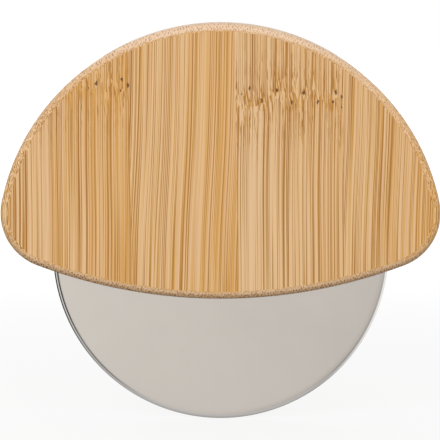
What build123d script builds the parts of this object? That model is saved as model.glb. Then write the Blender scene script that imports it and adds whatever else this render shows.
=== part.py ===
from build123d import *
import math
import os

# A palm-held pizza cutter: a half-moon bamboo handle in two halves, closed round a steel wheel.
# +X is to the right, +Y is away from the viewer and +Z is up, in millimetres. The origin is the
# lowest point of the blade's edge, on the blade's middle plane, so the axle is a blade radius above.

# Cutting blade
blade_diameter = 85.0
blade_thickness = 1.2
bevel_width = 0.9
edge_land = 0.1

# Room round the wheel
blade_rim_gap = 1.5
blade_side_gap = 0.9
hub_rim_gap = 0.75
hub_end_gap = 0.1
running_fit = 0.05
seat_fit = 0.02

# Handle: a crown arc over a flatter belly arc, joined by two rounded tips
handle_thickness = 20.0
rib_width = 12.0
crown_rise = 2.0
belly_radius = 130.0
belly_drop = 11.0
tip_radius = 14.0
edge_round = 2.0
joint_bevel = 0.2
mouth_bevel = 0.4

# Axle, the cups that hold its ends and the washers beside the hub
axle_diameter = 5.0
axle_end_bevel = 0.4
cup_wall = 1.5
cup_base = 0.8
cup_skin = 1.8
washer_width = 2.0
washer_thickness = 0.5

# Hub, riveted through the blade
hub_flange_width = 3.5
hub_flange_thickness = 2.0
hub_edge_bevel = 0.3
sleeve_wall = 1.95
rivet_diameter = 1.6
rivet_head_diameter = 2.6
rivet_count = 3

# Screws from behind, their inserts in the front half, and the dowels that line the halves up. The
# turn shares are of a half turn about the axle, from straight up to the outer screws and the dowels.
# The rib share is of the way across the rib, from pocket to crown.
screw_diameter = 4.0
screw_head_diameter = 7.6
screw_rim = 0.3
screw_recess = 0.2
screw_hole_gap = 0.2
screw_end_bevel = 0.5
hex_key = 2.5
hex_depth = 1.6
insert_wall = 1.2
insert_recess = 0.2
insert_groove_width = 1.0
insert_groove_depth = 0.4
dowel_diameter = 6.0
dowel_end_bevel = 0.6
fixing_skin = 2.5
bore_end_gap = 0.3
screw_turn_share = 0.28
dowel_turn_share = 0.4
rib_share = 0.45

# Worked out from the sizes above, radii and depths from the axle and the middle plane
axle_height = blade_diameter / 2
blade_radius = blade_diameter / 2
half_thickness = handle_thickness / 2
axle_radius = axle_diameter / 2
hub_face = blade_thickness / 2 + hub_flange_thickness
sleeve_radius = axle_radius + running_fit + sleeve_wall
hub_radius = sleeve_radius + hub_flange_width
rivet_radius = rivet_diameter / 2
rivet_head_radius = rivet_head_diameter / 2
rivet_head_depth = rivet_head_radius - rivet_radius
rivet_circle = (sleeve_radius + hub_radius) / 2
pocket_radius = blade_radius + blade_rim_gap
pocket_depth = blade_thickness / 2 + blade_side_gap
recess_radius = hub_radius + hub_rim_gap
recess_depth = hub_face + hub_end_gap + washer_thickness
cup_radius = axle_radius + seat_fit + cup_wall
cup_length = half_thickness - recess_depth - cup_skin
axle_half_length = recess_depth + cup_length - cup_base
crown_radius = pocket_radius + rib_width
screw_radius = screw_diameter / 2
screw_head_radius = screw_head_diameter / 2
screw_head_level = half_thickness - screw_recess
screw_cone_height = screw_head_radius - screw_radius
insert_radius = screw_radius + seat_fit + insert_wall
insert_bore_depth = half_thickness - fixing_skin
insert_length = insert_bore_depth - insert_recess - bore_end_gap
screw_length = screw_head_level + insert_recess + insert_length
sink_radius = screw_head_radius + screw_rim + screw_recess + seat_fit
dowel_radius = dowel_diameter / 2
dowel_bore_depth = half_thickness - fixing_skin
dowel_half_length = dowel_bore_depth - bore_end_gap

# The middle plane seen from the front: local x is right, local y is up, offsets run to the front
axle_plane = Plane(origin=(0, 0, axle_height), x_dir=(1, 0, 0), z_dir=(0, -1, 0))
rear_face_plane = Plane(origin=(0, half_thickness, axle_height), x_dir=(-1, 0, 0), z_dir=(0, 1, 0))
# The level plane through the axle, where a profile's local x is radius and local y is depth
profile_plane = Plane.XY.offset(axle_height)
wheel_axis = Axis((0, 0, axle_height), (0, 1, 0))
sides = {"front": 1, "rear": -1}


def rib_place(turn_share):
    """A fixing's place in the rib between pocket and crown, at a share of a half turn from straight up."""
    across, up = math.sin(math.pi * turn_share), math.cos(math.pi * turn_share)
    crown_reach = crown_rise * up + math.sqrt(crown_radius**2 - (crown_rise * across) ** 2)
    reach = pocket_radius + rib_share * (crown_reach - pocket_radius)
    return (reach * across, reach * up)


screw_places = {
    "top": rib_place(0),
    "left": rib_place(-screw_turn_share),
    "right": rib_place(screw_turn_share),
}
dowel_places = {"left": rib_place(-dowel_turn_share), "right": rib_place(dowel_turn_share)}


def shape_half(side):
    """Shapes one handle half in the open part: its blank, rounded edge, wheel room and dowel bores."""
    outward = Axis((0, 0, 0), (0, -side, 0))
    extrude(to_extrude=handle_outline.sketch, amount=side * half_thickness)
    fillet(faces().sort_by(outward)[-1].edges(), edge_round)
    chamfer(faces().sort_by(outward)[0].edges(), joint_bevel)
    # The blade's pocket runs out through the belly, where its mouth is bevelled
    extrude(to_extrude=pocket.sketch, amount=side * pocket_depth, mode=Mode.SUBTRACT)
    add(mouth_cutters[side].part, mode=Mode.SUBTRACT)
    extrude(to_extrude=hub_recess.sketch, amount=side * recess_depth, mode=Mode.SUBTRACT)
    extrude(to_extrude=cup_bore.sketch, amount=side * (recess_depth + cup_length), mode=Mode.SUBTRACT)
    extrude(to_extrude=dowel_bores.sketch, amount=side * dowel_bore_depth, mode=Mode.SUBTRACT)


os.makedirs("parts", exist_ok=True)

# Handle outline: each tip arc is tangent inside both the crown arc and the belly arc
belly_centre = belly_radius - belly_drop
centre_spread = belly_centre - crown_rise
crown_to_tip = crown_radius - tip_radius
belly_to_tip = belly_radius - tip_radius
tip_lift = (crown_to_tip**2 - belly_to_tip**2 + centre_spread**2) / (2 * centre_spread)
tip_rise = crown_rise + tip_lift
tip_reach = math.sqrt(crown_to_tip**2 - tip_lift**2)
# Where the tip arc meets the crown arc and the belly arc, each in line with two of the centres
crown_join_reach = tip_reach * crown_radius / crown_to_tip
crown_join_rise = crown_rise + tip_lift * crown_radius / crown_to_tip
belly_join_reach = tip_reach * belly_radius / belly_to_tip
belly_join_rise = belly_centre + (tip_rise - belly_centre) * belly_radius / belly_to_tip

with BuildSketch(axle_plane) as handle_outline:
    with BuildLine():
        ThreePointArc(
            (-crown_join_reach, crown_join_rise),
            (0, crown_rise + crown_radius),
            (crown_join_reach, crown_join_rise),
        )
        ThreePointArc(
            (-belly_join_reach, belly_join_rise),
            (0, -belly_drop),
            (belly_join_reach, belly_join_rise),
        )
        for hand in (-1, 1):
            ThreePointArc(
                (hand * crown_join_reach, crown_join_rise),
                (hand * (tip_reach + tip_radius), tip_rise),
                (hand * belly_join_reach, belly_join_rise),
            )
    make_face()

# Hollows that both halves share
with BuildSketch(axle_plane) as pocket:
    Circle(pocket_radius)
with BuildSketch(axle_plane) as hub_recess:
    Circle(recess_radius)
with BuildSketch(axle_plane) as cup_bore:
    Circle(cup_radius + seat_fit)
with BuildSketch(axle_plane) as dowel_bores:
    with Locations(*dowel_places.values()):
        Circle(dowel_radius + seat_fit)

# Cutters for the bevel along the slot's mouth: the pocket's disc, less a core that flares out to
# the handle's outline
mouth_cutters = {}
for side in sides.values():
    pocket_floor = axle_plane.offset(side * pocket_depth)
    with BuildSketch(pocket_floor) as mouth_core:
        add(handle_outline.sketch_local)
        offset(amount=-mouth_bevel)
    with BuildPart() as mouth_cutter:
        with BuildSketch(pocket_floor):
            Circle(pocket_radius)
        extrude(amount=side * mouth_bevel)
        extrude(to_extrude=mouth_core.sketch, amount=side * mouth_bevel, taper=-45, mode=Mode.SUBTRACT)
    mouth_cutters[side] = mouth_cutter

# Front half: its outer face is whole, and the screws' inserts sit in blind bores behind it
with BuildPart() as front_half:
    shape_half(sides["front"])
    with BuildSketch(axle_plane):
        with Locations(*screw_places.values()):
            Circle(insert_radius + seat_fit)
    extrude(amount=insert_bore_depth, mode=Mode.SUBTRACT)

front_half.part.label = "front_half"
export_step(front_half.part, "parts/front_half.step")

# Rear half: countersunk screw holes run through it
with BuildPart() as rear_half:
    shape_half(sides["rear"])
    with Locations(rear_face_plane):
        with Locations(*[(-across, up) for across, up in screw_places.values()]):
            CounterSinkHole(screw_radius + screw_hole_gap, sink_radius, depth=handle_thickness)

rear_half.part.label = "rear_half"
export_step(rear_half.part, "parts/rear_half.step")

# The rivets' holes, which the blade and both hub pieces share
with BuildSketch(axle_plane) as rivet_holes:
    with PolarLocations(rivet_circle, rivet_count):
        Circle(rivet_radius + seat_fit)

# Blade: a flat disc ground to an edge from both faces, bored for the hub and its rivets
with BuildPart() as blade:
    with BuildSketch(profile_plane):
        with BuildLine():
            Polyline(
                (sleeve_radius + seat_fit, -blade_thickness / 2),
                (blade_radius - bevel_width, -blade_thickness / 2),
                (blade_radius, -edge_land / 2),
                (blade_radius, edge_land / 2),
                (blade_radius - bevel_width, blade_thickness / 2),
                (sleeve_radius + seat_fit, blade_thickness / 2),
                close=True,
            )
        make_face()
    revolve(axis=wheel_axis)
    extrude(to_extrude=rivet_holes.sketch, amount=blade_thickness, both=True, mode=Mode.SUBTRACT)

blade.part.label = "blade"
export_step(blade.part, "parts/blade.step")


def sink_rivet_holes(side):
    """Cuts the rivets' holes into the open hub piece, each with its cone in the outer face."""
    extrude(to_extrude=rivet_holes.sketch, amount=side * hub_face, mode=Mode.SUBTRACT)
    with BuildSketch(axle_plane.offset(side * hub_face)) as rivet_cones:
        with PolarLocations(rivet_circle, rivet_count):
            Circle(rivet_head_radius + seat_fit)
    extrude(to_extrude=rivet_cones.sketch, amount=-side * rivet_head_depth, taper=45, mode=Mode.SUBTRACT)


# Hub bush: a front flange, and a sleeve that runs through the blade and turns on the axle
with BuildPart() as hub_bush:
    with BuildSketch(axle_plane.offset(blade_thickness / 2)):
        Circle(hub_radius)
    extrude(amount=hub_flange_thickness)
    chamfer(edges().group_by(Axis.Y)[0], hub_edge_bevel)
    with BuildSketch(axle_plane.offset(hub_face)):
        Circle(sleeve_radius)
    extrude(amount=-2 * hub_face)
    with BuildSketch(axle_plane.offset(hub_face)):
        Circle(axle_radius + running_fit)
    extrude(amount=-2 * hub_face, mode=Mode.SUBTRACT)
    sink_rivet_holes(sides["front"])

hub_bush.part.label = "hub_bush"
export_step(hub_bush.part, "parts/hub_bush.step")

# Hub collar: the ring that clamps the blade from behind, over the sleeve's end
with BuildPart() as hub_collar:
    with BuildSketch(axle_plane.offset(-blade_thickness / 2)):
        Circle(hub_radius)
    extrude(amount=-hub_flange_thickness)
    chamfer(edges().group_by(Axis.Y)[-1], hub_edge_bevel)
    with BuildSketch(axle_plane):
        Circle(sleeve_radius + seat_fit)
    extrude(amount=-hub_face, mode=Mode.SUBTRACT)
    sink_rivet_holes(sides["rear"])

hub_collar.part.label = "hub_collar"
export_step(hub_collar.part, "parts/hub_collar.step")

# Rivets: a shank with a cone at each end, flush with the hub's faces
for number in range(rivet_count):
    turn = number * math.tau / rivet_count
    rivet_place = (rivet_circle * math.cos(turn), rivet_circle * math.sin(turn))
    with BuildPart() as hub_rivet:
        with BuildSketch(axle_plane.offset(-hub_face)):
            with Locations(rivet_place):
                Circle(rivet_radius)
        extrude(amount=2 * hub_face)
        for side in sides.values():
            with BuildSketch(axle_plane.offset(side * hub_face)):
                with Locations(rivet_place):
                    Circle(rivet_head_radius)
            extrude(amount=-side * rivet_head_depth, taper=45)
    hub_rivet.part.label = f"hub_rivet_{number + 1}"
    export_step(hub_rivet.part, f"parts/hub_rivet_{number + 1}.step")

# Axle pin: held still at both ends, and the hub turns on its middle
with BuildPart() as axle_pin:
    with BuildSketch(axle_plane.offset(-axle_half_length)):
        Circle(axle_radius)
    extrude(amount=2 * axle_half_length)
    chamfer(edges().group_by(Axis.Y)[0] + edges().group_by(Axis.Y)[-1], axle_end_bevel)

axle_pin.part.label = "axle_pin"
export_step(axle_pin.part, "parts/axle_pin.step")

# Axle cups in the halves' blind bores, and the washers on the floors of the hub recesses
for name, side in sides.items():
    with BuildPart() as axle_cup:
        with BuildSketch(axle_plane.offset(side * recess_depth)):
            Circle(cup_radius)
        extrude(amount=side * cup_length)
        with BuildSketch(axle_plane):
            Circle(axle_radius + seat_fit)
        extrude(amount=side * axle_half_length, mode=Mode.SUBTRACT)
    axle_cup.part.label = f"axle_cup_{name}"
    export_step(axle_cup.part, f"parts/axle_cup_{name}.step")

    with BuildPart() as thrust_washer:
        with BuildSketch(axle_plane.offset(side * recess_depth)):
            Circle(axle_radius + seat_fit + washer_width)
            Circle(axle_radius + seat_fit, mode=Mode.SUBTRACT)
        extrude(amount=-side * washer_thickness)
    thrust_washer.part.label = f"thrust_washer_{name}"
    export_step(thrust_washer.part, f"parts/thrust_washer_{name}.step")

# Dowels across the joint, one near each tip
for name, place in dowel_places.items():
    with BuildPart() as dowel:
        with BuildSketch(axle_plane.offset(-dowel_half_length)):
            with Locations(place):
                Circle(dowel_radius)
        extrude(amount=2 * dowel_half_length)
        chamfer(edges().group_by(Axis.Y)[0] + edges().group_by(Axis.Y)[-1], dowel_end_bevel)
    dowel.part.label = f"dowel_{name}"
    export_step(dowel.part, f"parts/dowel_{name}.step")

# Countersunk screws and the threaded inserts that take them
for name, place in screw_places.items():
    with BuildPart() as screw:
        with BuildSketch(axle_plane.offset(-screw_head_level)):
            with Locations(place):
                Circle(screw_radius)
        extrude(amount=screw_length)
        chamfer(edges().group_by(Axis.Y)[0], screw_end_bevel)
        with BuildSketch(axle_plane.offset(-screw_head_level)):
            with Locations(place):
                Circle(screw_head_radius)
        extrude(amount=screw_rim)
        with BuildSketch(axle_plane.offset(screw_rim - screw_head_level)):
            with Locations(place):
                Circle(screw_head_radius)
        extrude(amount=screw_cone_height, taper=45)
        with BuildSketch(axle_plane.offset(-screw_head_level)):
            with Locations(place):
                RegularPolygon(hex_key / 2, 6, major_radius=False)
        extrude(amount=hex_depth, mode=Mode.SUBTRACT)
    screw.part.label = f"screw_{name}"
    export_step(screw.part, f"parts/screw_{name}.step")

    with BuildPart() as insert:
        with BuildSketch(axle_plane.offset(insert_recess)):
            with Locations(place):
                Circle(insert_radius)
                Circle(screw_radius + seat_fit, mode=Mode.SUBTRACT)
        extrude(amount=insert_length)
        with BuildSketch(axle_plane.offset(insert_recess + (insert_length - insert_groove_width) / 2)):
            with Locations(place):
                Circle(insert_radius)
                Circle(insert_radius - insert_groove_depth, mode=Mode.SUBTRACT)
        extrude(amount=insert_groove_width, mode=Mode.SUBTRACT)
    insert.part.label = f"insert_{name}"
    export_step(insert.part, f"parts/insert_{name}.step")
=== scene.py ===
"""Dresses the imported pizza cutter: a bamboo handle in two halves, closed round a ground steel wheel.

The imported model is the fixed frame, in metres: +X to the right along the handle, +Y from its front
face to its rear face, +Z up, with the origin under the wheel's edge. The blade is built here as a
finer surface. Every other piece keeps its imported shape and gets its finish. Finishes read Object
coordinates and are worked out in millimetres.
"""

import logging
import math
from collections.abc import Callable, Iterator, Mapping, Sequence
from dataclasses import dataclass, field, replace
from enum import Enum
from typing import Any, Union

import bpy
import numpy as np
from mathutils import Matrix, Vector


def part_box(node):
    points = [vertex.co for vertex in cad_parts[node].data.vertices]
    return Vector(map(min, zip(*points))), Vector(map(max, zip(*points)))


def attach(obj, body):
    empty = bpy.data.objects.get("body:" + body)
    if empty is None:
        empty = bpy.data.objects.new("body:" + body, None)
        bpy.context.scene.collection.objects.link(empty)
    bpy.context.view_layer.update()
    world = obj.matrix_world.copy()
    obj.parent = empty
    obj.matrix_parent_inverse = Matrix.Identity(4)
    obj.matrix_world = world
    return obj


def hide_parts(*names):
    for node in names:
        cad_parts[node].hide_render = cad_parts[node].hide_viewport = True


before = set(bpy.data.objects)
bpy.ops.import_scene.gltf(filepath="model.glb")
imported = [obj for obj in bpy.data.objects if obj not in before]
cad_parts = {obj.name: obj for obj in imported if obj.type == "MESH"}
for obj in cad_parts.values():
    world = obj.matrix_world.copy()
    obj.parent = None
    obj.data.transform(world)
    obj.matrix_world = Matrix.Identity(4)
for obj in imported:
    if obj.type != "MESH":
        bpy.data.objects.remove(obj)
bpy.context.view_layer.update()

log = logging.getLogger("pizza_cutter")

Number = Union["Value", float]
Colour = tuple[float, float, float]
MILLIMETRE = 0.001


def srgb(red: int, green: int, blue: int) -> Colour:
    """The linear colour of an 8-bit one."""
    return tuple(
        (c / 12.92 if c <= 0.04045 else ((c + 0.055) / 1.055) ** 2.4)
        for c in (red / 255, green / 255, blue / 255)
    )


class Slot(Enum):
    """The record's material slots."""

    BAMBOO = "bamboo"
    BLADE_STEEL = "blade_steel"
    HUB_PLASTIC = "hub_plastic"
    RIVET_ALUMINIUM = "rivet_aluminium"
    FIXING_STEEL = "fixing_steel"
    INSERT_BRASS = "insert_brass"
    WASHER_PLASTIC = "washer_plastic"
    DOWEL_WOOD = "dowel_wood"


class Body(Enum):
    """The bodies that pieces ride on."""

    HANDLE = "handle"
    WHEEL = "wheel"


def operator(operation: str, swapped: bool = False) -> Callable[["Value", Number], "Value"]:
    """Makes an operator of Value that adds one Math node.

    Args:
        operation: the Math node's operation.
        swapped: whether the other number comes first, as in the reflected operators.

    Returns:
        The operator.
    """

    def act(value: "Value", other: Number) -> "Value":
        """Adds the node."""
        return value.math(operation, other, value) if swapped else value.math(operation, value, other)

    return act


class Value:
    """A number that varies over a surface: a shader socket whose arithmetic adds Math nodes."""

    __add__, __radd__ = operator("ADD"), operator("ADD", swapped=True)
    __sub__, __rsub__ = operator("SUBTRACT"), operator("SUBTRACT", swapped=True)
    __mul__, __rmul__ = operator("MULTIPLY"), operator("MULTIPLY", swapped=True)
    __truediv__, __rtruediv__ = operator("DIVIDE"), operator("DIVIDE", swapped=True)
    __pow__, __rpow__ = operator("POWER"), operator("POWER", swapped=True)

    def __init__(self, surface: "Surface", socket: bpy.types.NodeSocket) -> None:
        """Keeps the socket and the surface whose nodes it belongs to."""
        self.surface = surface
        self.socket = socket

    def math(self, operation: str, *numbers: Number) -> "Value":
        """Adds one Math node.

        Args:
            operation: the Math node's operation.
            numbers: its inputs, in order.

        Returns:
            The node's result.
        """
        node = self.surface.node("ShaderNodeMath", {"operation": operation}, dict(enumerate(numbers)))
        return Value(self.surface, node.outputs[0])

    def __neg__(self) -> "Value":
        """The opposite number."""
        return self.math("MULTIPLY", self, -1.0)

    def __abs__(self) -> "Value":
        """The size without its sign."""
        return self.math("ABSOLUTE", self)

    def floor(self) -> "Value":
        """The whole number below."""
        return self.math("FLOOR", self)

    def fraction(self) -> "Value":
        """What is left above the whole number below."""
        return self.math("FRACT", self)

    def wrap(self, span: float) -> "Value":
        """The remainder by the span, never below 0."""
        return self.math("FLOORED_MODULO", self, span)

    def above(self, level: Number) -> "Value":
        """1 above the level and 0 below it."""
        return self.math("GREATER_THAN", self, level)

    def smallest(self, other: Number) -> "Value":
        """The smaller of the two."""
        return self.math("MINIMUM", self, other)

    def wave(self) -> "Value":
        """Its sine, brought to the range from 0 to 1."""
        return self.math("SINE", self) * 0.5 + 0.5

    def hump(self, centre: Number, width: float) -> "Value":
        """A bell curve of height 1 about the centre, which falls to 1/e at the width."""
        return self.math("EXPONENT", -(((self - centre) / width) ** 2.0))

    def rise(self, low: float, high: float) -> "Value":
        """A smooth step between two levels.

        Args:
            low: the level with result 0.
            high: the level with result 1. It may be the lower of the two.

        Returns:
            The smooth step.
        """
        node = self.surface.node(
            "ShaderNodeMapRange",
            {"interpolation_type": "SMOOTHSTEP"},
            {"Value": self, "From Min": min(low, high), "From Max": max(low, high)},
        )
        step = Value(self.surface, node.outputs[0])
        return step if low <= high else 1 - step


class Surface:
    """A node tree under construction, for a material or the world."""

    def __init__(self, tree: bpy.types.NodeTree) -> None:
        """Empties the tree."""
        self.tree = tree
        tree.nodes.clear()

    def node(
        self,
        kind: str,
        settings: Mapping[str, Any] | None = None,
        inputs: Mapping[Any, Any] | None = None,
    ) -> bpy.types.Node:
        """Adds one node.

        Args:
            kind: the node's type.
            settings: its properties, set before its sockets. "stops" fills a colour ramp with
                (position, colour) pairs, and "ramp_mode" is the ramp's interpolation.
            inputs: a number, a colour, a Value or a socket for each input, by name or position.

        Returns:
            The node.
        """
        node = self.tree.nodes.new(kind)
        for name, setting in (settings or {}).items():
            if name == "stops":
                elements = node.color_ramp.elements
                while len(elements) < len(setting):
                    elements.new(1.0)
                for element, (position, colour) in zip(elements, setting):
                    element.position = position
                    element.color = (*colour, 1.0)
            elif name == "ramp_mode":
                node.color_ramp.interpolation = setting
            else:
                setattr(node, name, setting)
        for key, value in (inputs or {}).items():
            socket = node.inputs[key]
            if isinstance(value, Value):
                self.tree.links.new(value.socket, socket)
            elif isinstance(value, bpy.types.NodeSocket):
                self.tree.links.new(value, socket)
            elif socket.type == "RGBA":
                socket.default_value = (*value, 1.0)
            else:
                socket.default_value = value
        return node

    def number(self, socket: bpy.types.NodeSocket) -> Value:
        """A socket as a number for arithmetic."""
        return Value(self, socket)

    def point(self, *numbers: Number) -> bpy.types.NodeSocket:
        """A vector of up to three numbers."""
        return self.node("ShaderNodeCombineXYZ", None, dict(enumerate(numbers))).outputs[0]

    def coordinates(self, centre: Vector | None = None) -> tuple[Value, Value, Value]:
        """The piece's own x, y and z in millimetres.

        Args:
            centre: the place, in metres, that they are counted from; the origin if none.

        Returns:
            Three numbers.
        """
        place = self.node("ShaderNodeTexCoord").outputs["Object"]
        mapped = self.node(
            "ShaderNodeMapping",
            {"vector_type": "TEXTURE"},
            {"Vector": place, "Location": centre or Vector(), "Scale": (MILLIMETRE,) * 3},
        )
        split = self.node("ShaderNodeSeparateXYZ", None, {0: mapped.outputs[0]})
        return tuple(self.number(socket) for socket in split.outputs)

    def noise(self, across: Number, depth: Number, along: Number, seed: Number, detail: float = 0) -> Value:
        """Smooth noise from 0 to 1 about 0.5, whose grains are about one unit of each number.

        Args:
            across: the first number.
            depth: the second.
            along: the third.
            seed: the pattern's number; another seed gives another pattern.
            detail: how many finer layers are added.

        Returns:
            The noise.
        """
        node = self.node(
            "ShaderNodeTexNoise",
            {"noise_dimensions": "4D"},
            {"Vector": self.point(across, depth, along), "W": seed, "Scale": 1.0, "Detail": detail},
        )
        return self.number(node.outputs[0])

    def cells(self, across: Number, depth: Number, loose: float) -> tuple[Value, Value]:
        """Scattered points, one in each unit cell.

        Args:
            across: the first number.
            depth: the second.
            loose: how far the points stray from a square lattice, from 0 to 1.

        Returns:
            The distance from the nearest point, and that point's random number.
        """
        node = self.node(
            "ShaderNodeTexVoronoi",
            {"voronoi_dimensions": "2D"},
            {"Vector": self.point(across, depth), "Scale": 1.0, "Randomness": loose},
        )
        split = self.node("ShaderNodeSeparateColor", None, {0: node.outputs["Color"]})
        return self.number(node.outputs["Distance"]), self.number(split.outputs[0])

    def ramp(self, value: Value, *stops: tuple[float, Colour], mode: str = "LINEAR") -> bpy.types.NodeSocket:
        """The colour at a value, between stops of (position, colour)."""
        settings = {"stops": stops, "ramp_mode": mode}
        return self.node("ShaderNodeValToRGB", settings, {0: value}).outputs[0]

    def mix(self, share: Number, first: Any, second: Any) -> bpy.types.NodeSocket:
        """Two colours mixed.

        Args:
            share: the share of the second, from 0 to 1.
            first: a colour or a socket.
            second: a colour or a socket.

        Returns:
            The mixed colour.
        """
        settings = {"data_type": "RGBA", "clamp_factor": True}
        return self.node("ShaderNodeMix", settings, {0: share, 6: first, 7: second}).outputs[2]

    def bump(self, height: Value, distance: float) -> bpy.types.NodeSocket:
        """The surface's normal under a relief.

        Args:
            height: the relief, from 0 to 1.
            distance: its full height in metres.

        Returns:
            The normal.
        """
        return self.node("ShaderNodeBump", None, {"Height": height, "Distance": distance}).outputs[0]


class Finish:
    """What every finish does: it opens a material, fills it and closes it."""

    def material(self, name: str, centre: Vector | None = None) -> bpy.types.Material:
        """Makes the finish's material.

        Args:
            name: the material's name.
            centre: the middle of a turned piece, in metres.

        Returns:
            The material.
        """
        made = bpy.data.materials.new(name)
        made.use_nodes = True
        surface = Surface(made.node_tree)
        shader = surface.node("ShaderNodeBsdfPrincipled", None, self.sockets(surface, centre))
        surface.node("ShaderNodeOutputMaterial", None, {0: shader.outputs[0]})
        return made

    def sockets(self, surface: Surface, centre: Vector | None) -> dict[str, Any]:
        """What the finish gives to each socket of its shader."""
        raise NotImplementedError


@dataclass(frozen=True)
class Strip:
    """One strip of the bamboo board.

    Attributes:
        lean: how far its grain leans, in degrees; the lower end goes to the left.
        tone: how light it is, about 0.
        knuckle: the height of its growth ring, or 0 where the strip has none.
    """

    lean: float
    tone: float
    knuckle: float = 0.0


@dataclass(frozen=True)
class Streak:
    """One strong dark line of the front face.

    Attributes:
        across: its place at the board's middle height.
        depth: how much it darkens.
        width: half its width.
    """

    across: float
    depth: float
    width: float = 0.28


@dataclass(frozen=True)
class Pit:
    """One small dark pit of a growth ring.

    Attributes:
        across: its place to the right.
        up: its height.
        size: its size as a share of the largest.
    """

    across: float
    up: float
    size: float = 1.0


class Streaks(Enum):
    """The sets of streaks in the grain.

    Each has a width and a length in millimetres, a number of its own, without which two sets of one
    size would be alike, and for some a slope across the grain.
    """

    BROAD = (0.9, 120, 2)
    FINE = (0.17, 90, 3)
    THIN = (0.6, 220, 4)
    RING_WAVE = (1.5, 90, 5)
    TONGUE = (0.7, 90, 6)
    DRIFT = (4, 120, 7)
    PINKISH = (0.45, 40, 8)
    GOLDEN = (0.5, 70, 9)
    STROKE = (0.33, 3.4, 10, 0.16)
    FLAME = (0.6, 5.0, 12)
    PIT_ACROSS = (0.4, 0.6, 13)
    THIN_STRENGTH = (0.6, 50, 14)
    PIT_UP = (0.4, 0.6, 15)
    DASH = (0.9, 8, 17)
    CROWD = (5.0, 120, 21)


@dataclass(frozen=True)
class Grain:
    """A point's place in its strip's grain, from which the strip's streaks are worked out.

    Attributes:
        surface: the material's nodes.
        across: the place across the grain, in millimetres.
        depth: the place from front to rear.
        along: the height.
        seed: the number of the strip's own pattern.
    """

    surface: Surface
    across: Value
    depth: Value
    along: Value
    seed: Value

    def streaks(self, which: Streaks) -> Value:
        """Smooth noise about 0, drawn out along the grain.

        Args:
            which: the set of streaks.

        Returns:
            The noise.
        """
        width, length, number, *slant = which.value
        across = self.across + self.along * slant[0] if slant else self.across
        seed = self.seed + number
        return self.surface.noise(across / width, self.depth / width, self.along / length, seed) - 0.5

    def lines(self, which: Streaks) -> Value:
        """Thin dark lines with paler edges, where streaks change sign: 1 in their middle."""
        level = abs(self.streaks(which))
        return level.rise(0.11, 0.02) - level.hump(0.15, 0.045) * 0.5


@dataclass(frozen=True)
class Ring:
    """What a strip's growth ring does at a point.

    Attributes:
        upper: 1 above the ring and 0 below it.
        near: how near the ring is, from 0 to 1.
        bare: 1 on the pale tongues, where the grain's lines stop short of the ring.
        flame: how much of a golden patch, pointed at its ends, lies here.
        outline: how near the tongues' ends are, from 0 to 1.
    """

    upper: Value
    near: Value
    bare: Value
    flame: Value
    outline: Value


@dataclass(frozen=True)
class Weights:
    """How much each feature of the grain counts.

    Attributes:
        base: the grain's lightness before its features. Here 1 is 100 steps of 8-bit lightness.
        aging: how much darker a strip grows from its first side to its other one.
        bare: how much lighter the tongues are.
        flame: how much darker the flames are.
        outline: how much darker the tongues' ends are.
        broad, fine: how much the streaks lighten and darken.
        thin, fibre: how much the thin lines and the bundles' lines darken.
        ring_fibre: how much more the bundles darken at a ring of a pale strip.
        stroke, dash: how much the short marks at a ring darken.
        contrast, pale_contrast, ring_contrast: the fine features' contrast, and what a pale strip
            and a ring add to it.
        bare_smooth: how much of that contrast the tongues lose.
        pink, whiten, golden: the shares of the tints.
        flame_gold, aging_gold: the gold that flames and ageing add.
        pale_gold: how much less gold a pale strip has.
        end, under, dot, seam, pit: the shares of the colours laid over the grain; under is painted shade.
    """

    base: float = 0.92
    aging: float = 0.14
    bare: float = 0.2
    flame: float = 0.6
    outline: float = 1.0
    broad: float = 0.05
    fine: float = 7.0
    thin: float = 0.4
    fibre: float = 0.34
    ring_fibre: float = 1.1
    stroke: float = 0.95
    dash: float = 0.35
    contrast: float = 1.04
    pale_contrast: float = 0.12
    ring_contrast: float = 0.8
    bare_smooth: float = 0.85
    pink: float = 0.6
    whiten: float = 0.6
    golden: float = 0.45
    flame_gold: float = 0.5
    aging_gold: float = 0.5
    pale_gold: float = 0.45
    end: float = 0.75
    # The share of painted shade on end grain that faces down.
    under: float = 0.45
    dot: float = 0.85
    seam: float = 0.22
    pit: float = 0.95


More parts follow.
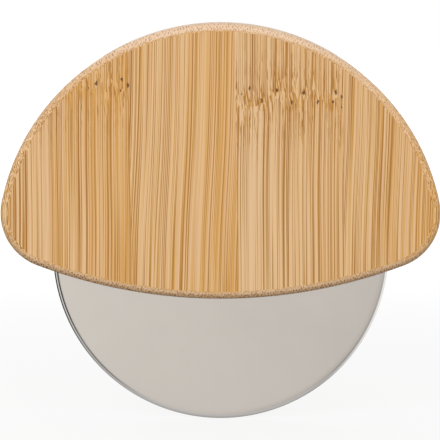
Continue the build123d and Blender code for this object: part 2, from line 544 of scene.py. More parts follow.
@dataclass(frozen=True)
class Bamboo(Finish):
    """Laminated bamboo with upright grain, as a solid pattern in millimetres.

    The board is four layers deep, each of upright strips. Fibre bundles run along each strip as
    columns: cut across they are dots, cut along they are dark lines.

    Attributes:
        strips: the strips' own numbers, used in turn.
        strip_width: the width of a strip.
        first_seam: the place of the front layer's first seam at the middle height.
        seam_lean: how far the seams lean, in degrees.
        layer_shift: how far each layer's seams lie beside those of the layer before it.
        layer_depth: how deep a layer is.
        front_face: the place of the front face.
        edge_round: the radius of the handle's edges, round which the grain's depth is unrolled.
        middle_height: the height at which places across the board are given.
        wander: how far the grain strays sideways.
        streaks: the strongest lines of the front face.
        pits: the pits of the front face's growth rings.
        pit_width, pit_height: half the size of the largest pit.
        pit_roughness: how far the pits' outlines stray.
        bundle_width, bundle_depth: the spacing of the fibre bundles.
        fading_width: the width over which the cut bundles would fade away to the right.
        darkest to lightest: the grain's colours, from dark lines to pale ones.
        pink, pale, gold: the tints of single streaks, of pale strips and of a strip's older side.
        end_ground, end_dot: the colours of end grain and of the bundles in it.
        underside_shade: painted shade, a darker and yellower tint laid over end grain that faces down.
        weights: how much each feature counts.
    """

    strips: tuple[Strip, ...] = (
        Strip(0.3, 0.02),
        Strip(0.0, 0.01, 85.0),
        Strip(2.2, 0.01),
        Strip(0.2, 0.11, 81.5),
        Strip(1.2, -0.11),
        Strip(0.6, 0.02),
    )
    strip_width: float = 26.6
    first_seam: float = -49.1
    seam_lean: float = 1.0
    layer_shift: float = 9.8
    layer_depth: float = 5.0
    front_face: float = -10.0
    edge_round: float = 2.0
    middle_height: float = 62.0
    wander: float = 1.2
    streaks: tuple[Streak, ...] = (
        *(Streak(-53.1, 0.09), Streak(-51.5, 0.15), Streak(-45.0, 0.08), Streak(-40.8, 0.09)),
        *(Streak(-39.6, 0.09), Streak(-37.6, 0.08), Streak(-33.1, 0.11), Streak(-30.6, 0.11)),
        *(Streak(-29.9, 0.09), Streak(-26.9, 0.09), Streak(-23.7, 0.11, 0.6), Streak(-15.3, 0.2)),
        *(Streak(-13.6, 0.14), Streak(-5.7, 0.2), Streak(-3.6, 0.14), Streak(-2.0, 0.16)),
        *(Streak(0.2, 0.2), Streak(1.4, 0.06, 2.2), Streak(3.6, 0.18), Streak(5.2, 0.10)),
        *(Streak(13.2, 0.11), Streak(17.9, 0.11), Streak(22.5, 0.13), Streak(29.7, 0.16)),
        *(Streak(31.9, 0.27, 0.4), Streak(33.0, 0.24, 0.35), Streak(39.3, 0.21), Streak(42.7, 0.16)),
        *(Streak(44.8, 0.27), Streak(47.3, 0.24)),
    )
    pits: tuple[Pit, ...] = (
        *(Pit(-30.9, 85.6), Pit(-32.9, 84.6, 0.6), Pit(-24.5, 86.6, 0.7), Pit(-23.0, 85.1)),
        *(Pit(-24.9, 83.9, 0.5), Pit(5.3, 83.0, 0.6), Pit(7.3, 84.4, 0.9), Pit(10.3, 81.4, 0.9)),
        *(Pit(14.1, 83.9, 0.8), Pit(17.8, 80.9, 0.9), Pit(20.7, 83.4), Pit(24.2, 81.0, 0.9)),
        *(Pit(28.0, 81.1, 0.6), Pit(28.7, 83.4), Pit(30.3, 82.3, 0.7), Pit(30.2, 79.7, 0.5)),
    )
    pit_width: float = 0.32
    pit_height: float = 0.6
    pit_roughness: float = 0.6
    bundle_width: float = 0.8
    bundle_depth: float = 1.2
    fading_width: float = 170.0
    darkest: Colour = srgb(162, 106, 44)
    dark: Colour = srgb(192, 136, 54)
    medium: Colour = srgb(208, 157, 77)
    middle: Colour = srgb(218, 174, 106)
    light: Colour = srgb(225, 186, 131)
    lightest: Colour = srgb(236, 200, 156)
    pink: Colour = srgb(222, 182, 150)
    pale: Colour = srgb(234, 202, 162)
    gold: Colour = srgb(222, 166, 88)
    end_ground: Colour = srgb(232, 203, 174)
    end_dot: Colour = srgb(146, 98, 62)
    # Painted shade: a darker, yellower tint for end grain that faces down.
    underside_shade: Colour = srgb(206, 158, 92)
    pit_colour: Colour = srgb(100, 64, 30)
    weights: Weights = Weights()

    def sockets(self, surface: Surface, centre: Vector | None) -> dict[str, Any]:
        """Works out the board's pattern.

        Args:
            surface: the material's nodes.
            centre: not used; the pattern belongs to the whole handle.

        Returns:
            The shader's sockets.
        """
        x, y, z = surface.coordinates()
        layer = ((y - self.front_face) / self.layer_depth).floor()
        front = 1 - layer.above(0.5)
        rise = z - self.middle_height
        # Which strip, by seams that lean a little and are shifted from layer to layer
        shifted = x + rise * math.tan(math.radians(self.seam_lean)) + layer * self.layer_shift
        order = (shifted - self.first_seam) / self.strip_width + 1
        index = order.floor() + layer * 2
        lean, tone, knuckle = self._strip_table(surface, index)
        pale = tone.rise(0.02, 0.06)
        outward = order.fraction() * order.above(1.0)
        # Place in the grain, with its lean, a slow wander, and depth unrolled round the edges
        seed = index * 3.7 + layer * 11.3
        wander = (surface.noise(0.0, y / 9, z / 40, seed) - 0.5) * self.wander
        inward = ((-self.front_face - abs(y)) / self.edge_round).smallest(1.0)
        unrolled = ((inward * (2 - inward)) ** 0.5 - inward) * self.edge_round
        grain = Grain(surface, x - rise * lean + wander, y - y / abs(y) * unrolled, z, seed)
        grain, ring = self._ring(grain, knuckle)
        # Fibre bundles, closer together on a strip's older side
        distance, chance = self._bundles(grain, ring)
        crowd = outward * 0.45 + grain.streaks(Streaks.CROWD) + ring.near * 0.1
        fibre = distance.rise(0.38, 0.2) - distance.hump(0.46, 0.07) * 0.35
        fibre = fibre * (chance + crowd).rise(0.25, 1.15)
        fine = grain.streaks(Streaks.FINE)
        aging = outward - 0.4
        shade = self._shade(grain, ring, fine, fibre, tone, pale, aging)
        shade -= self._accents(grain, ring) * front
        colour = self._coloured(grain, ring, shade, pale, aging)
        colour = self._cut_across(surface, colour, distance, chance, 0.75 - x / self.fading_width)
        # Seams between strips and layers
        seam = abs((order + 0.5).fraction() - 0.5) * self.strip_width
        joint = abs(((y - self.front_face) / self.layer_depth + 0.5).fraction() - 0.5) * self.layer_depth
        colour = surface.mix(seam.smallest(joint).rise(0.1, 0.02) * self.weights.seam, colour, self.dark)
        pit = self._pits(grain, x, z) * front
        return {
            "Base Color": surface.mix(pit * self.weights.pit, colour, self.pit_colour),
            "Roughness": 0.46 + fibre * 0.1,
            "Specular IOR Level": 0.35,
            "Normal": surface.bump(0.6 + fine - fibre * 0.2 - pit * 0.5, 0.00002),
        }

    def _shade(
        self, grain: Grain, ring: Ring, fine: Value, fibre: Value, tone: Value, pale: Value, aging: Value
    ) -> Value:
        """The grain's lightness, without the strongest lines.

        Args:
            grain: the strip's grain.
            ring: its growth ring.
            fine: the fine streaks.
            fibre: the fibre bundles.
            tone: the strip's tone.
            pale: 1 in a pale strip.
            aging: how far across the strip the place is, about 0.

        Returns:
            The lightness, of which 1 is 100 steps of 8-bit lightness.
        """
        share = self.weights
        shade = share.base + tone - aging * share.aging
        shade += ring.bare * share.bare - ring.flame * share.flame - ring.outline * share.outline
        thin = grain.lines(Streaks.THIN) * (0.5 + grain.streaks(Streaks.THIN_STRENGTH) * 4)
        lines = thin * share.thin + fibre * (share.fibre + ring.near * pale * share.ring_fibre)
        streaks = grain.streaks(Streaks.BROAD) * share.broad + fine * share.fine
        contrast = share.contrast + pale * share.pale_contrast + ring.near * share.ring_contrast
        shade += (streaks - lines) * contrast * (1 - ring.bare * share.bare_smooth)
        marks = grain.streaks(Streaks.STROKE).rise(0.04, 0.1) * share.stroke
        return shade - (marks + grain.lines(Streaks.DASH) * share.dash) * ring.near

    def _coloured(
        self, grain: Grain, ring: Ring, shade: Value, pale: Value, aging: Value
    ) -> bpy.types.NodeSocket:
        """The colour along the grain.

        Args:
            grain: the strip's grain.
            ring: its growth ring.
            shade: the lightness.
            pale: 1 in a pale strip.
            aging: how far across the strip the place is, about 0.

        Returns:
            The colour.
        """
        surface, share = grain.surface, self.weights
        colours = (self.darkest, self.dark, self.medium, self.middle, self.light, self.lightest)
        stops = ((place / (len(colours) - 1), colour) for place, colour in enumerate(colours))
        colour = surface.ramp(shade, *stops)
        pinkish = grain.streaks(Streaks.PINKISH).rise(0.0, 0.14) * shade.rise(0.55, 0.85)
        colour = surface.mix(pinkish * share.pink, colour, self.pink)
        colour = surface.mix(pale * shade.rise(0.3, 0.8) * share.whiten, colour, self.pale)
        golden = grain.streaks(Streaks.GOLDEN).rise(0.02, 0.16) * share.golden
        golden += ring.flame * share.flame_gold + aging * share.aging_gold
        return surface.mix(golden * (1 - pale * share.pale_gold), colour, self.gold)

    def _strip_table(self, surface: Surface, index: Value) -> tuple[Value, Value, Value]:
        """Looks up the strip's own numbers.

        Args:
            surface: the material's nodes.
            index: the strip's number, which wraps round the table.

        Returns:
            The grain's lean as a slope, the tone, and the growth ring's height.
        """
        count = len(self.strips)
        height_scale = 200.0
        stops = [
            (
                order / count,
                (math.tan(math.radians(strip.lean)), strip.tone + 0.5, strip.knuckle / height_scale),
            )
            for order, strip in enumerate(self.strips)
        ]
        found = surface.ramp((index.wrap(count) + 0.5) / count, *stops, mode="CONSTANT")
        split = surface.node("ShaderNodeSeparateColor", None, {0: found})
        lean, tone, knuckle = (surface.number(socket) for socket in split.outputs)
        return lean, tone - 0.5, knuckle * height_scale

    def _ring(self, grain: Grain, knuckle: Value) -> tuple[Grain, Ring]:
        """The strip's growth ring, above and below which the grain differs.

        Args:
            grain: the strip's grain.
            knuckle: the ring's height, or 0.

        Returns:
            The grain on this side of the ring, and the ring.
        """
        ringed = knuckle.above(1.0)
        height = grain.along - knuckle - grain.streaks(Streaks.RING_WAVE) * 9
        upper = height.above(0.0) * ringed
        side = replace(grain, seed=grain.seed + upper * 23.0)
        ends = abs(height) - side.streaks(Streaks.TONGUE) * 18
        flame = grain.streaks(Streaks.FLAME).rise(0.06, 0.11) * height.hump(-0.5, 4.5) * ringed
        bare, outline = ends.rise(1.8, 0.7) * ringed, ends.hump(1.7, 0.7) * ringed
        return side, Ring(upper, height.hump(0.0, 10.0) * ringed, bare, flame, outline)

    def _bundles(self, grain: Grain, ring: Ring) -> tuple[Value, Value]:
        """The fibre bundles, in staggered rows: the distance from the nearest and its own chance."""
        drift = grain.streaks(Streaks.DRIFT) * 0.9
        column = grain.across / self.bundle_width + ring.upper * 7.7
        row = (grain.depth + drift) / self.bundle_depth + grain.seed
        return grain.surface.cells(column + row, column - row, 0.6)

    def _accents(self, grain: Grain, ring: Ring) -> Value:
        """The strong lines' darkening, which a growth ring cuts off."""
        shades = [grain.across.hump(streak.across, streak.width) * streak.depth for streak in self.streaks]
        return sum(shades[1:], shades[0]) * (1 - ring.upper * 0.8)

    def _cut_across(
        self,
        surface: Surface,
        colour: bpy.types.NodeSocket,
        distance: Value,
        chance: Value,
        strength: Value,
    ) -> bpy.types.NodeSocket:
        """Turns the colour into end grain where the surface cuts across the fibres, and paints shade on end
        grain that faces down.

        Args:
            surface: the material's nodes.
            colour: the colour along the grain.
            distance: the distance from the nearest fibre bundle.
            chance: that bundle's random number.
            strength: how strong the bundles are; they fade to the right.

        Returns:
            The colour.
        """
        normal = surface.node("ShaderNodeTexCoord").outputs["Normal"]
        facing = surface.node("ShaderNodeSeparateXYZ", None, {0: normal}).outputs
        upward, aside = surface.number(facing[2]), abs(surface.number(facing[0]))
        steep = abs(upward) / (aside + 0.25)
        colour = surface.mix(steep.rise(0.1, 1.2) * self.weights.end, colour, self.end_ground)
        # Painted shade: end grain that faces down is tinted darker and yellower.
        below = upward.rise(-0.1, -0.6)
        colour = surface.mix(below * self.weights.under, colour, self.underside_shade)
        dots = distance.rise(0.34, 0.2) * (chance * 0.6 + 0.4) * (strength + below * 0.9)
        return surface.mix(dots * steep.rise(0.45, 0.95) * self.weights.dot, colour, self.end_dot)

    def _pits(self, grain: Grain, x: Value, z: Value) -> Value:
        """1 inside the growth rings' pits, which are small upright ovals with a rough outline."""
        x += grain.streaks(Streaks.PIT_ACROSS) * self.pit_roughness
        z += grain.streaks(Streaks.PIT_UP) * self.pit_roughness
        nearest = None
        for pit in self.pits:
            across = (x - pit.across) / (self.pit_width * pit.size)
            up = (z - pit.up) / (self.pit_height * pit.size)
            oval = across * across + up * up
            nearest = oval if nearest is None else nearest.smallest(oval)
        return nearest.rise(1.8, 0.3)


@dataclass(frozen=True)
class SatinSteel(Finish):
    """The blade: fine satin stainless steel with faint clouds, and a ground bevel.

    Attributes:
        tint: its colour.
        bevel_tint: the bevel's colour.
        roughness: how far it blurs what it reflects.
        cloud: the size of its clouds in millimetres.
        bevel_start: the radius at which the bevel starts, in millimetres.
        bevel_roughness: how far the bevel blurs what it reflects.
        darkening: the share of the tint that the darkest clouds keep.
        ring: the spacing of the bevel's grinding rings in millimetres.
    """

    tint: Colour = srgb(229, 221, 212)
    bevel_tint: Colour = srgb(218, 214, 210)
    roughness: float = 0.2
    cloud: float = 14.0
    bevel_start: float = 41.6
    bevel_roughness: float = 0.12
    darkening: float = 0.9
    ring: float = 0.05

    def sockets(self, surface: Surface, centre: Vector | None) -> dict[str, Any]:
        """Clouds, fine scratches and the bevel's rings, as small changes of tint and roughness.

        Args:
            surface: the material's nodes.
            centre: the wheel's middle.

        Returns:
            The shader's sockets.
        """
        x, y, z = surface.coordinates(centre)
        radius = (x**2.0 + z**2.0) ** 0.5
        bevel = radius.rise(self.bevel_start - 0.12, self.bevel_start + 0.02)
        clouds = surface.noise(x / self.cloud, y, z / self.cloud, 3.0, detail=2) - 0.5
        smudges = surface.noise(x / 5, y, z / 3, 7.0, detail=1).rise(0.5, 0.75)
        smears = (surface.noise((x + z) / 0.9, y, (x - z) / 6, 6.0, detail=2) - 0.5) * smudges
        rings = surface.noise(radius / self.ring, y / self.ring, 0.0, 8.0) - 0.5
        darker = tuple(c * self.darkening for c in self.tint)
        shade = (0.5 + clouds * 1.1 + smears * 1.2).rise(-0.1, 1.1)
        colour = surface.mix(bevel, surface.mix(shade, darker, self.tint), self.bevel_tint)
        face = self.roughness + clouds * 0.06 + smears * 0.1
        ground = self.bevel_roughness + rings * 0.06
        return {
            "Base Color": colour,
            "Metallic": 1.0,
            "Roughness": face * (1 - bevel) + ground * bevel,
        }


@dataclass(frozen=True)
class TurnedMetal(Finish):
    """Metal turned on a lathe, with fine rings about the piece's own axis.

    Attributes:
        tint: its colour.
        roughness: how far it blurs what it reflects.
        ring: the spacing of the tool's rings in millimetres.
        stain: the size of its stains in millimetres.
        darkening: the share of the tint that the stains keep.
    """

    tint: Colour
    roughness: float = 0.3
    ring: float = 0.12
    stain: float = 1.4
    darkening: float = 0.72

    def sockets(self, surface: Surface, centre: Vector | None) -> dict[str, Any]:
        """Rings as relief, and small stains as changes of tint and roughness."""
        x, y, z = surface.coordinates(centre)
        radius = (x**2.0 + z**2.0) ** 0.5
        ring = surface.noise(radius / self.ring, y / self.ring, 0.0, 2.0)
        stain = surface.noise(x / self.stain, y / self.stain, z / self.stain, 5.0, detail=2)
        darker = tuple(c * self.darkening for c in self.tint)
        return {
            "Base Color": surface.mix(stain.rise(0.3, 0.6), darker, self.tint),
            "Metallic": 1.0,
            "Roughness": self.roughness + (stain - 0.5) * 0.2,
            "Normal": surface.bump(ring, 0.00001),
        }


@dataclass(frozen=True)
class MouldedPlastic(Finish):
    """Matt moulded plastic.

    Attributes:
        tint: its colour.
        roughness: how far it blurs what it reflects.
        pebble: the size of its texture in millimetres.
        darkening: the share of the tint that the flow marks keep.
    """

    tint: Colour
    roughness: float = 0.5
    pebble: float = 0.15
    darkening: float = 0.88

    def sockets(self, surface: Surface, centre: Vector | None) -> dict[str, Any]:
        """A fine moulded texture, with flow marks about the piece's axis."""
        x, y, z = surface.coordinates(centre)
        pebble = surface.noise(x / self.pebble, y / self.pebble, z / self.pebble, 1.0, detail=1)
        flow = surface.noise((x**2.0 + z**2.0) ** 0.5 / 1.2, y / 2, 0.0, 4.0)
        darker = tuple(c * self.darkening for c in self.tint)
        return {
            "Base Color": surface.mix(flow.rise(0.35, 0.65), darker, self.tint),
            "Roughness": self.roughness + (pebble - 0.5) * 0.25,
            "Normal": surface.bump(pebble, 0.00001),
        }


@dataclass(frozen=True)
class TurnedWood(Finish):
    """A plain wooden dowel, its grain along the dowel's own length."""

    light: Colour = srgb(222, 186, 140)
    dark: Colour = srgb(186, 142, 94)

    def sockets(self, surface: Surface, centre: Vector | None) -> dict[str, Any]:
        """Long fine grain along the dowel, with paler growth lines."""
        x, y, z = surface.coordinates(centre)
        grain = surface.noise(x / 0.25, y / 6, z / 0.25, 1.0, detail=1)
        growth = surface.noise(x / 1.6, y / 14, z / 4, 2.0)
        colour = surface.mix((grain * 0.6 + growth * 0.4).rise(0.3, 0.7), self.dark, self.light)
        return {
            "Base Color": colour,
            "Roughness": 0.6 + (grain - 0.5) * 0.2,
            "Normal": surface.bump(grain, 0.00003),
        }


def middle_of(node: str) -> Vector:
    """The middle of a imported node's box, in metres."""
    low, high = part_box(node)
    return (low + high) / 2


def dress(node: str, finish: Finish) -> bpy.types.Object:
    """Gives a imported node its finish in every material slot.

    Args:
        node: the node's name.
        finish: its finish.

    Returns:
        The node's object.
    """
    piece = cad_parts[node]
    material = finish.material(f"{node}_finish", middle_of(node))
    if not piece.material_slots:
        piece.data.materials.append(material)
    for place in piece.material_slots:
        place.material = material
    return piece


def merged_mesh(name: str, patches: Sequence[np.ndarray]) -> bpy.types.Mesh:
    """Joins grids of points into one closed mesh.

    Args:
        name: the mesh's name.
        patches: grids of points with shape (rows, columns, 3), whose quads face outwards when
            rows and columns turn as X and Y do under +Z. Edges that meet are merged.

    Returns:
        The mesh, with points that coincide merged.
    """
    points, faces, start = [], [], 0
    for grid in patches:
        rows, columns = grid.shape[:2]
        number = np.arange(rows * columns).reshape(rows, columns) + start
        corners = (number[:-1, :-1], number[1:, :-1], number[1:, 1:], number[:-1, 1:])
        faces.append(np.stack(corners, axis=-1).reshape(-1, 4))
        points.append(grid.reshape(-1, 3))
        start += rows * columns
    stacked, quads = np.concatenate(points), np.concatenate(faces)
    tolerance = 1e-7
    keys, first, back = np.unique(
        np.round(stacked / tolerance).astype(np.int64), axis=0, return_index=True, return_inverse=True
    )
    mesh = bpy.data.meshes.new(name)
    mesh.from_pydata(stacked[first].tolist(), [], back.reshape(-1)[quads].tolist())
    mesh.validate()
    mesh.update()
    return mesh


@dataclass
class Handle:
    """The two bamboo halves and the dowels between them."""

    bamboo: Bamboo = field(default_factory=Bamboo)
    dowel: TurnedWood = field(default_factory=TurnedWood)

    def build(self) -> Iterator[bpy.types.Object]:
        """Dresses the halves and the dowels, one after the other."""
        yield dress("front_half", self.bamboo)
        yield dress("rear_half", self.bamboo)
        yield dress("dowel_left", self.dowel)
        yield dress("dowel_right", self.dowel)


@dataclass
class Wheel:
    """The ground blade and its hub.

    Attributes:
        segments: how many steps a full turn of the blade has.
        bevel_width: the width of the ground bevel, in metres, like every length here.
        shoulder_width: the width of the rounded step from the face into the bevel.
        polished_width: the width of the ring inside it, where polishing has eased the face.
        tilts: how far the surface tips from the face at the ends of those rings, from the
            polished ring's inner side to the start of the edge's own rounding, in degrees.
        ring_steps: how many steps each ring has.
        hub_zone: the radius inside which the blade is under the hub's flanges.
        bore: the radius of the blade's bore.
        rivet_hole: the radius of the holes that the rivets pass.
        hole_patch: how many steps of the turn each hole's patch covers, each way.
        web_steps: how many rows of points lie across the hub zone.
        flat_steps: how many lie across the flat face outside it.
        edge_steps: how many lie round each side of the edge's rounding.
        sharp_angle: the angle from which an edge is shaded sharp, in degrees.
    """

    hub: MouldedPlastic = MouldedPlastic(srgb(236, 234, 228))
    rivet: TurnedMetal = TurnedMetal(srgb(224, 224, 226), 0.28)
    segments: int = 720
    bevel_width: float = 0.0009
    shoulder_width: float = 0.00025
    polished_width: float = 0.0009
    tilts: tuple[float, ...] = (0.0, 2.5, 8.0, 48.0)
    ring_steps: tuple[int, ...] = (5, 5, 15)
    hub_zone: float = 0.008
    bore: float = 0.00452
    rivet_hole: float = 0.00082
    hole_patch: int = 40
    web_steps: int = 5
    flat_steps: int = 4
    edge_steps: int = 7
    sharp_angle: float = 35.0
    rivets: tuple[str, ...] = ("hub_rivet_1", "hub_rivet_2", "hub_rivet_3")

    def build(self) -> Iterator[bpy.types.Object]:
        """Builds the blade, then dresses the hub and its rivets."""
        yield self.blade()
        yield dress("hub_bush", self.hub)
        yield dress("hub_collar", self.hub)
        for name in self.rivets:
            yield dress(name, self.rivet)

    def blade(self) -> bpy.types.Object:
        """Builds the blade's surface: a turned outer part, and a web with the hub's holes.

        Returns:
            The piece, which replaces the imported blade.
        """
        low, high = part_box("blade")
        centre, half, radius = (low + high) / 2, (high.y - low.y) / 2, (high.z - low.z) / 2
        patches = [self._turned(self._profile(radius, half), np.arange(self.segments + 1))]
        patches += self._web(half, centre)
        mesh = merged_mesh("blade_ground", [grid + np.array(centre) for grid in patches])
        mesh.shade_smooth()
        mesh.set_sharp_from_angle(angle=math.radians(self.sharp_angle))
        steel = SatinSteel(bevel_start=(radius - self.bevel_width) / MILLIMETRE)
        mesh.materials.append(steel.material("blade_finish", centre))
        piece = bpy.data.objects.new("blade_ground", mesh)
        bpy.context.scene.collection.objects.link(piece)
        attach(piece, Body.WHEEL.value)
        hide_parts("blade")
        return piece

    def _turned(self, profile: np.ndarray, steps: np.ndarray) -> np.ndarray:
        """Turns a profile about the axle.

        Args:
            profile: rows of radius and place along the axle.
            steps: the turn's steps, counted from +X towards +Z.

        Returns:
            A grid whose point is (radius times cosine, place, radius times sine).
        """
        angle = steps * (2 * math.pi / self.segments)
        radius, along = profile[:, :1], profile[:, 1:]
        return np.stack((radius * np.cos(angle), along + 0 * angle, radius * np.sin(angle)), axis=-1)

    def _profile(self, radius: float, half: float) -> np.ndarray:
        """The blade's section from the hub zone's front, round the edge, to its rear.

        The tilt grows evenly across each ring, so a ring's depth at a tilt is its width over the
        tilt's range, times the logarithm of the first tilt's cosine over this one's. A circle about
        the middle plane closes the edge: its radius is the one that meets the bevel's end.

        Args:
            radius: the blade's radius.
            half: half its thickness.

        Returns:
            Rows of radius and place along the axle.
        """
        tilts = np.radians(self.tilts)
        spans = np.diff(tilts)
        mean_slopes = np.log(np.cos(tilts[:-1]) / np.cos(tilts[1:])) / spans
        widths = np.array((self.polished_width, self.shoulder_width, self.bevel_width))
        last = tilts[-1]
        rounding = (half - mean_slopes @ widths) / (math.cos(last) - mean_slopes[-1] * (1 - math.sin(last)))
        start = radius - widths.sum()
        widths[-1] -= rounding * (1 - math.sin(last))
        flat = np.linspace(self.hub_zone, start, self.flat_steps)
        rings = [np.stack((flat, np.full(len(flat), -half)), axis=-1)]
        for first, span, width, steps in zip(tilts, spans, widths, self.ring_steps):
            share = np.linspace(0, 1, steps + 1)[1:]
            depth = width / span * np.log(math.cos(first) / np.cos(first + span * share))
            rings.append(rings[-1][-1] + np.stack((width * share, depth), axis=-1))
        turn = np.linspace(last, math.pi / 2, self.edge_steps)[1:]
        rings.append(np.stack((radius - rounding * (1 - np.sin(turn)), -rounding * np.cos(turn)), axis=-1))
        front = np.concatenate(rings)
        return np.concatenate((front, front[-2::-1] * (1, -1)))

    def _web(self, half: float, centre: Vector) -> Iterator[np.ndarray]:
        """The part under the hub's flanges: plain sectors, a patch round each hole, and the walls.

        Args:
            half: half the blade's thickness.
            centre: the wheel's middle.

        Yields:
            Grids of both faces and of the walls.
        """
        radii = np.linspace(self.bore, self.hub_zone, self.web_steps)
        depth = np.array([half, 0.0, -half])
        places = [middle_of(name) - centre for name in self.rivets]
        turns = (math.atan2(place.z, place.x) / (2 * math.pi) for place in places)
        steps = sorted(round(turn * self.segments) % self.segments for turn in turns)
        circle = math.hypot(places[0].x, places[0].z)
        yield self._turned(np.stack((np.full(3, self.bore), depth), axis=-1), np.arange(self.segments + 1))
        for step, following in zip(steps, steps[1:] + [steps[0] + self.segments]):
            sector = np.arange(step + self.hole_patch, following - self.hole_patch + 1)
            flat = self._turned(np.stack((radii, 0 * radii), axis=-1), sector)
            rim, outline = self._hole(step, circle, radii)
            share = np.linspace(0, 1, self.web_steps)[:, None, None]
            for grid in (flat, rim * (1 - share) + outline * share):
                yield grid + (0, -half, 0)
                yield grid[:, ::-1] + (0, half, 0)
            yield rim + depth[:, None, None] * np.array((0, 1, 0))

    def _hole(self, step: int, circle: float, radii: np.ndarray) -> tuple[np.ndarray, np.ndarray]:
        """A rivet hole's rim and the outline of the patch round it, on the middle plane.

        Each point of the rim faces its point of the outline, as seen from the hole's centre.

        Args:
            step: the turn's step at which the hole lies.
            circle: the radius on which the hole's centre lies.
            radii: the radii of the patch's sides, from the bore outwards.

        Returns:
            Two closed loops of points, in the order of the turn.
        """
        across = np.arange(step - self.hole_patch, step + self.hole_patch + 1)
        ends = np.stack((radii[[0, -1]], np.zeros(2)), axis=-1)
        arcs = self._turned(ends, across)
        sides = self._turned(np.stack((radii, 0 * radii), axis=-1), across[[0, -1]])
        outline = np.concatenate((arcs[1], sides[-2::-1, 1], arcs[0, -2::-1], sides[1:, 0]))
        middle = self._turned(np.array([[circle, 0.0]]), np.array([step]))[0, 0]
        away = outline - middle
        rim = middle + away * (self.rivet_hole / np.linalg.norm(away, axis=1, keepdims=True))
        return rim, outline


@dataclass
class Axle:
    """The pin, the cups that hold its ends, and the washers beside the hub."""

    steel: TurnedMetal = TurnedMetal(srgb(200, 200, 202), 0.25)
    brass: TurnedMetal = TurnedMetal(srgb(214, 182, 110), 0.3)
    washer: MouldedPlastic = MouldedPlastic(srgb(62, 62, 66), 0.42)

    def build(self) -> Iterator[bpy.types.Object]:
        """Dresses the pin, the cups and the washers."""
        yield dress("axle_pin", self.steel)
        for side in ("front", "rear"):
            yield dress(f"axle_cup_{side}", self.brass)
            yield dress(f"thrust_washer_{side}", self.washer)


@dataclass
class Fixings:
    """The screws from behind and their inserts."""

    steel: TurnedMetal = TurnedMetal(srgb(204, 204, 206), 0.27)
    brass: TurnedMetal = TurnedMetal(srgb(214, 182, 110), 0.3)

    def build(self) -> Iterator[bpy.types.Object]:
        """Dresses each screw and its insert."""
        for place in ("top", "left", "right"):
            yield dress(f"screw_{place}", self.steel)
            yield dress(f"insert_{place}", self.brass)


@dataclass(frozen=True)
class Lamp:
    """A square soft lamp that points at the cutter.

    Attributes:
        name: its name.
        place: where it stands, in metres.
        side: its side in metres.
        radiance: how bright its face is.
    """

    name: str
    place: tuple[float, float, float]
    side: float
    radiance: float

    def build(self, target: Vector) -> bpy.types.Object:
        """Makes the lamp, turned to a target."""
        data = bpy.data.lights.new(self.name, "AREA")
        data.shape = "SQUARE"
        data.size = self.side
        data.energy = self.radiance * math.pi * self.side**2
        lamp = bpy.data.objects.new(self.name, data)
        lamp.location = self.place
        lamp.rotation_euler = (target - lamp.location).to_track_quat("-Z", "Y").to_euler()
        lamp.visible_glossy = False
        bpy.context.scene.collection.objects.link(lamp)
        return lamp


class Measure(Enum):
    """The measures of a direction by which the studio's cards are placed.

    They are counted from the direction that the blade's face shows the camera, where FRONT is 1; it
    is -1 behind. ACROSS and UP are those parts of the direction. The others are the share of what
    lies off the front that goes each way.
    """

    FRONT = "front"
    ACROSS = "across"
    UP = "up"
    LEFT = "left"
    RIGHT = "right"
    BELOW = "below"


@dataclass(frozen=True)
class Card:
    """A soft-edged card that shows in reflections.

    Attributes:
        shade: how much it darkens the studio. One below 0 is a bright card.
        steps: its sides, each as a measure, the level at which the card ends and the level from
            which it is whole.
    """

    shade: float
    steps: tuple[tuple[Measure, float, float], ...]


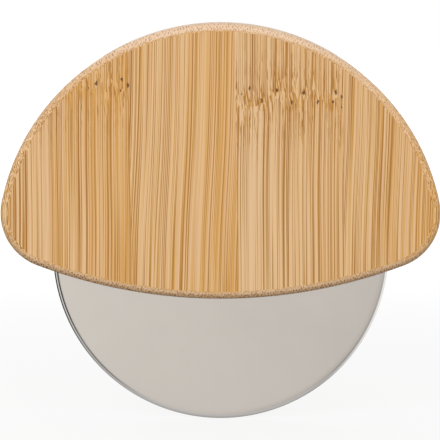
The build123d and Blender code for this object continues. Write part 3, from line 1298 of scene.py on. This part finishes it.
@dataclass
class Studio:
    """The floor, the lamps, the white surroundings and the camera.

    Attributes:
        target: the point that the camera looks at, in metres.
        azimuth: how far the camera stands to the right, in degrees.
        elevation: how far it looks down, in degrees.
        distance: how far it stands from the target.
        lens: its focal length in millimetres, on a sensor of sensor_width.
        sensor_width: the width of its sensor in millimetres.
        floor_side: the side of the floor.
        floor_tint: the floor's paint, which takes the shadow.
        floor_glow: how bright the floor looks.
        glow_share: how much of the floor's look is glow, near the cutter and beyond shadow_reach.
        shadow_reach: where the shadow starts to fade and where it has gone, in millimetres.
        bounce_tint: the colour of the floor in the light that it scatters back.
        ambient: the strength of the surroundings on matt surfaces.
        mirror_dip: how far below the horizon the blade's face mirrors the camera, in degrees.
        cards: the cards that reflections show: two upright dark ones on the left, at about 30 and
            90 degrees, a darkening across and downwards, and on the right a narrow grey one before
            a bright one.
        band_turns: how fast the soft bands beside and behind the cutter follow each other.
        bands: where those bands show.
        lamps: the lamps.
    """

    target: Vector = field(default_factory=lambda: Vector((-0.00015, 0.0, 0.05063)))
    azimuth: float = 0.3
    elevation: float = 5.0
    distance: float = 0.737
    lens: float = 238.1
    sensor_width: float = 36.0
    floor_side: float = 6.0
    floor_tint: Colour = (0.42, 0.42, 0.42)
    floor_glow: float = 1.18
    glow_share: tuple[float, float] = (0.72, 1.0)
    shadow_reach: tuple[float, float] = (150.0, 700.0)
    bounce_tint: Colour = (0.22, 0.22, 0.22)
    ambient: float = 0.62
    mirror_dip: float = 6.7
    cards: tuple[Card, ...] = (
        Card(0.51, ((Measure.LEFT, 0.42, 0.75), (Measure.FRONT, 0.68, 0.77), (Measure.FRONT, 0.984, 0.962))),
        Card(0.30, ((Measure.LEFT, 0.84, 0.95), (Measure.FRONT, 0.68, 0.77), (Measure.FRONT, 0.984, 0.962))),
        Card(0.78, ((Measure.LEFT, 0.62, 0.98), (Measure.FRONT, -0.55, -0.4), (Measure.FRONT, 0.40, 0.25))),
        Card(0.30, ((Measure.ACROSS, -0.12, 0.10), (Measure.FRONT, 0.91, 0.965))),
        Card(0.14, ((Measure.UP, 0.04, -0.12),)),
        Card(0.13, ((Measure.BELOW, 0.3, 0.8), (Measure.FRONT, 0.985, 0.93))),
        Card(0.12, ((Measure.BELOW, 0.3, 0.8), (Measure.FRONT, 0.95, 0.5))),
        Card(0.12, ((Measure.BELOW, 0.3, 0.8), (Measure.FRONT, 0.3, -0.1))),
        Card(0.30, ((Measure.RIGHT, 0.52, 0.76), (Measure.FRONT, 0.965, 0.92), (Measure.FRONT, 0.52, 0.7))),
        Card(-0.35, ((Measure.RIGHT, 0.52, 0.76), (Measure.FRONT, 0.62, 0.45), (Measure.FRONT, -0.4, 0.0))),
    )
    band_turns: tuple[float, float] = (9.0, 5.0)
    bands: tuple[Card, ...] = (
        Card(0.05, ((Measure.FRONT, 0.75, 0.45),)),
        Card(0.25, ((Measure.FRONT, 0.0, -0.25),)),
    )
    lamps: tuple[Lamp, ...] = (
        Lamp("key_lamp", (-0.7, -1.4, 0.55), 1.3, 2.4),
        Lamp("fill_lamp", (0.6, -1.5, 0.35), 1.3, 2.0),
        Lamp("rear_lamp", (-0.4, 1.4, 0.45), 1.3, 2.2),
    )

    def build(self) -> None:
        """Sets up everything round the cutter."""
        self._floor()
        self._world()
        for lamp in self.lamps:
            lamp.build(self.target)
        self._camera()

    def _seen(self, surface: Surface) -> Value:
        """1 where the camera, a reflection or a clear material looks, and 0 for scattered light."""
        path = surface.node("ShaderNodeLightPath").outputs
        seen = surface.number(path["Is Camera Ray"]) + surface.number(path["Is Glossy Ray"])
        return (seen + surface.number(path["Is Transmission Ray"])).smallest(1.0)

    def _floor(self) -> None:
        """A pale floor that looks white and keeps the cutter's shadow, strongest near the cutter."""
        half = self.floor_side / 2
        mesh = bpy.data.meshes.new("floor")
        corners = [(-half, -half, 0), (half, -half, 0), (half, half, 0), (-half, half, 0)]
        mesh.from_pydata(corners, [], [(0, 1, 2, 3)])
        floor = bpy.data.objects.new("floor", mesh)
        floor.visible_glossy = False
        bpy.context.scene.collection.objects.link(floor)
        made = bpy.data.materials.new("floor_paint")
        made.use_nodes = True
        surface = Surface(made.node_tree)
        x, y, _ = surface.coordinates()
        away = (x**2.0 + y**2.0) ** 0.5
        seen = self._seen(surface)
        near, far = self.glow_share
        share = seen * (near + away.rise(*self.shadow_reach) * (far - near))
        tint = surface.mix(seen, self.bounce_tint, self.floor_tint)
        paint = surface.node("ShaderNodeBsdfDiffuse", None, {"Color": tint})
        glow = surface.node("ShaderNodeEmission", None, {"Color": (1, 1, 1), "Strength": self.floor_glow})
        looks = {0: share, 1: paint.outputs[0], 2: glow.outputs[0]}
        mixed = surface.node("ShaderNodeMixShader", None, looks)
        surface.node("ShaderNodeOutputMaterial", None, {0: mixed.outputs[0]})
        mesh.materials.append(made)

    def _world(self) -> None:
        """White for the camera, the studio's cards for reflections, plain soft light for the rest."""
        world = bpy.data.worlds.new("surroundings")
        bpy.context.scene.world = world
        world.use_nodes = True
        surface = Surface(world.node_tree)
        glossy = surface.number(surface.node("ShaderNodeLightPath").outputs["Is Glossy Ray"])
        soft = surface.node("ShaderNodeBackground", None, {0: (1, 1, 1), 1: self.ambient})
        strength = 1 - glossy * (1 - self._reflected(surface))
        white = surface.node("ShaderNodeBackground", None, {0: (1, 1, 1), 1: strength})
        mixed = surface.node(
            "ShaderNodeMixShader", None, {0: self._seen(surface), 1: soft.outputs[0], 2: white.outputs[0]}
        )
        surface.node("ShaderNodeOutputWorld", None, {0: mixed.outputs[0]})

    def _reflected(self, surface: Surface) -> Value:
        """How bright the studio is in a reflection: 1, less each card where its smooth steps all are 1.

        Args:
            surface: the world's nodes.

        Returns:
            The brightness.
        """
        direction = surface.node("ShaderNodeTexCoord").outputs["Generated"]
        split = surface.node("ShaderNodeSeparateXYZ", None, {0: direction}).outputs
        x, y, z = (surface.number(socket) for socket in split)
        dip = math.radians(self.mirror_dip)
        up = z * math.cos(dip) - y * math.sin(dip)
        aside = (x**2.0 + up**2.0) ** 0.5
        measures = {
            Measure.FRONT: -y * math.cos(dip) - z * math.sin(dip),
            Measure.ACROSS: x,
            Measure.UP: up,
            Measure.LEFT: -x / aside,
            Measure.RIGHT: x / aside,
            Measure.BELOW: -up / aside,
        }

        def darkening(cards: tuple[Card, ...]) -> Value:
            """The sum of the cards, each of which is its shade times its steps."""
            total = 0.0
            for card in cards:
                shade = card.shade
                for measure, low, high in card.steps:
                    shade = measures[measure].rise(low, high) * shade
                total = shade + total
            return total

        across_turns, up_turns = self.band_turns
        bands = (x * across_turns + z * up_turns).wave()
        return 1 - darkening(self.cards) - bands * darkening(self.bands)

    def _camera(self) -> None:
        """The camera at the photograph's angle."""
        turn, lift = math.radians(self.azimuth), math.radians(self.elevation)
        back = Vector((math.sin(turn) * math.cos(lift), -math.cos(turn) * math.cos(lift), math.sin(lift)))
        data = bpy.data.cameras.new("camera")
        data.lens = self.lens
        data.sensor_width = self.sensor_width
        camera = bpy.data.objects.new("camera", data)
        camera.location = self.target + back * self.distance
        camera.rotation_euler = (-back).to_track_quat("-Z", "Y").to_euler()
        scene = bpy.context.scene
        scene.collection.objects.link(camera)
        scene.camera = camera
        scene.view_settings.view_transform = "Standard"


def main() -> None:
    """Builds the cutter's sub-assemblies in order, then the studio round them."""
    logging.basicConfig(level=logging.INFO, format="%(name)s: %(message)s")
    for assembly in (Handle(), Wheel(), Axle(), Fixings()):
        for piece in assembly.build():
            log.info("%s: %s, %d faces", type(assembly).__name__, piece.name, len(piece.data.polygons))
    Studio().build()


if __name__ == "__main__":
    main()
